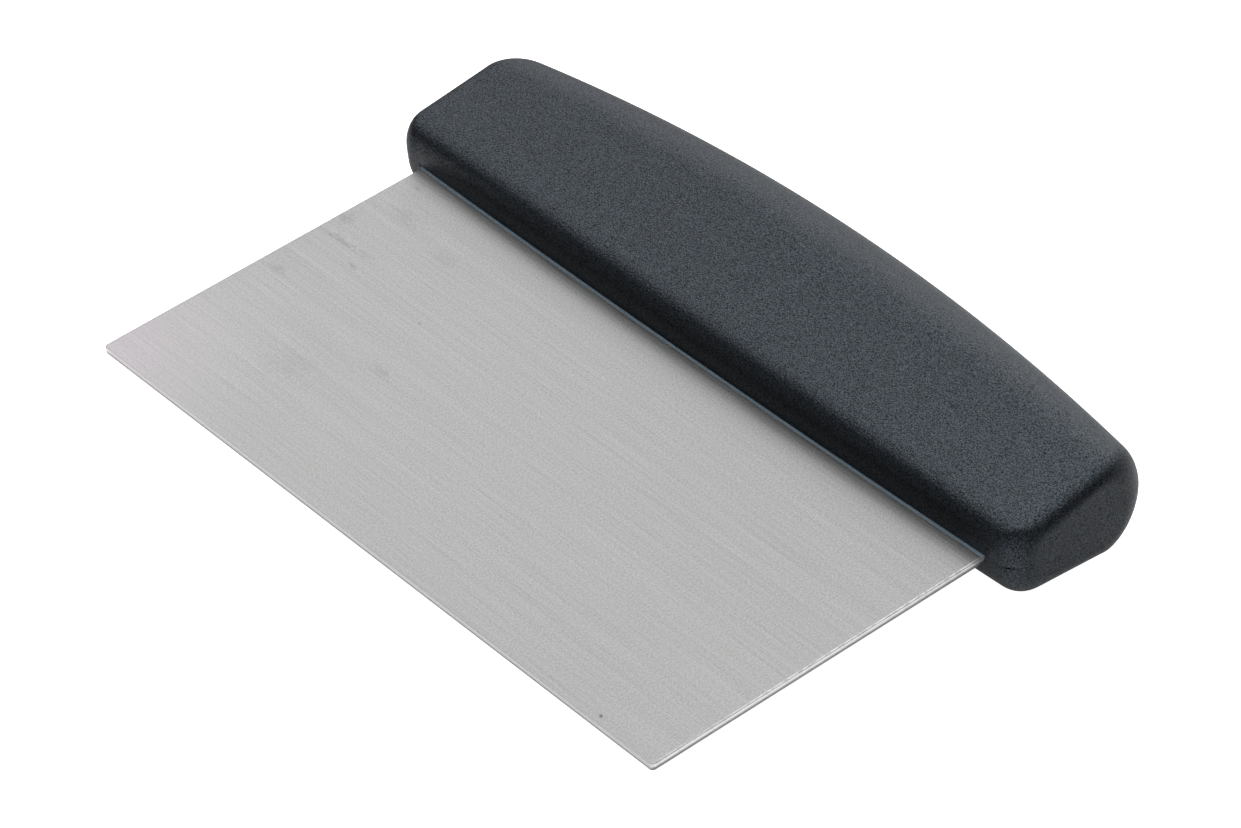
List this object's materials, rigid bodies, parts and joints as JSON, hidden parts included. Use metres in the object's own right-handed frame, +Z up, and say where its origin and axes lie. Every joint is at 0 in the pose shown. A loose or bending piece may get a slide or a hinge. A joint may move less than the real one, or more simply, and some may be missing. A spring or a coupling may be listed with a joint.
{
  "type": "bench scraper",
  "caption": "Flat rectangular stainless steel blade held along its rear edge by a full-width, blunt-nosed black plastic handle, for cutting dough and scraping a bench.",
  "frame": {"origin": "centre of the footprint on the bench, with the scraper lying at rest on its working edge and the underside of its handle", "axes": "+X along the working edge, +Y from the working edge back to the handle, +Z up from the bench; the blade rises towards the handle at 6.6 degrees"},
  "size_m": [0.1676, 0.11, 0.0261],
  "materials": {
    "blade_steel": "fine brushed lines along the working edge",
    "handle_plastic": "satin, fine pebble grain"
  },
  "bodies": {
    "root": {"blade": "blade_steel", "handle_upper_half": "handle_plastic", "handle_lower_half": "handle_plastic"}
  },
  "joints": []
}
